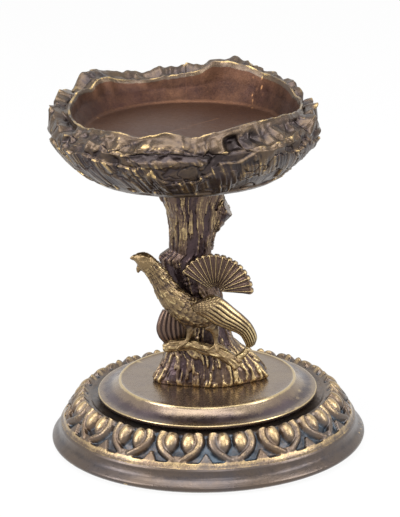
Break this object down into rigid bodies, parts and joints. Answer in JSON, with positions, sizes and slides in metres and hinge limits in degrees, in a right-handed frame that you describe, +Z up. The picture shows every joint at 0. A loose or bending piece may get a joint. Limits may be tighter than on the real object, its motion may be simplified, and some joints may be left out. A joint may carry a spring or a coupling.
{
  "type": "candlestick",
  "caption": "Cast and turned brass candlestick: a bark-edged dish on a tree trunk with a grouse on a low branch, over a round foot with a leaf and egg border.",
  "frame": {"origin": "centre of the round foot on the surface it stands on", "axes": "+Z up, the bird is on the -Y side and looks toward -X"},
  "size_m": [0.0836, 0.0836, 0.0967],
  "materials": {
    "border_brass": "aged cast brass, dark in the recesses and worn to gold on the eggs and ridges",
    "turned_brass": "satin turned brass with a brown patina",
    "bark_brass": "aged cast brass with dark grooves and worn ridges",
    "bowl_brass": "aged cast brass, coppery brown inside",
    "gold_brass": "aged cast brass, worn bright on the high places",
    "feather_brass": "aged cast brass, brown between the ribs",
    "steel": "plain fasteners",
    "pin_brass": "plain brass rod"
  },
  "bodies": {
    "root": {"foot_ring": "border_brass", "base_plate": "turned_brass", "trunk": "bark_brass", "bowl": "bowl_brass", "perch_branch": "gold_brass", "bird_body": "gold_brass", "tail_fan": "feather_brass", "near_wing": "gold_brass", "far_wing": "feather_brass", "stem_stud": "steel", "stem_washer": "steel", "stem_nut": "steel", "bowl_stud": "steel", "perch_pin_left": "pin_brass", "perch_pin_right": "pin_brass", "bird_pin": "pin_brass"}
  },
  "joints": []
}
